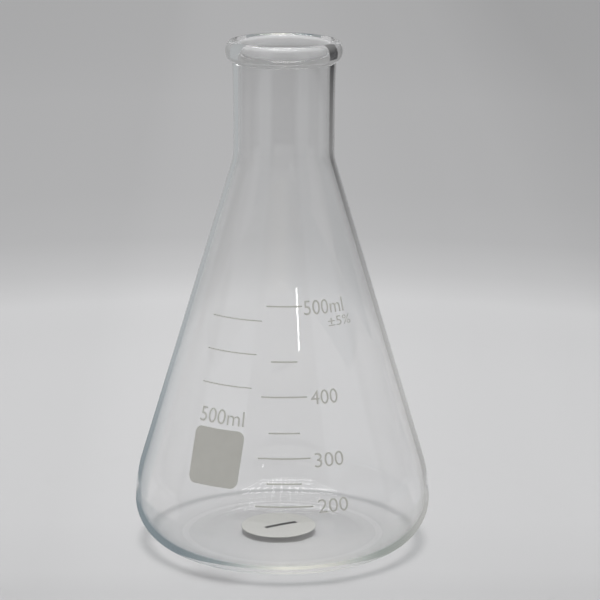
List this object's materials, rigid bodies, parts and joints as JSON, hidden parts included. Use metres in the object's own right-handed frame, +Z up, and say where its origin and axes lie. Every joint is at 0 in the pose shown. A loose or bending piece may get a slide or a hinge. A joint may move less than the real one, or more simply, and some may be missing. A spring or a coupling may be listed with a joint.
{
  "type": "conical flask",
  "caption": "Conical laboratory flask of clear glass with a beaded neck, a rounded heel, a printed volume scale and a hollow base.",
  "frame": {"origin": "centre of the ring that the flask stands on, in the plane of the table", "axes": "+Z up along the flask's axis, out of the mouth; -Y is the front, where the volume scale faces; +X is to the right of someone who reads the scale"},
  "size_m": [0.105, 0.105, 0.18],
  "materials": {
    "glass": "clear, smooth",
    "enamel": "matt",
    "label_paper": "matt",
    "ink": "matt"
  },
  "bodies": {
    "root": {"flask": "glass", "graduation_lines": "enamel", "marking_patch": "enamel", "writing_rules": "enamel", "base_label": "label_paper", "label_dash": "ink"}
  },
  "joints": []
}
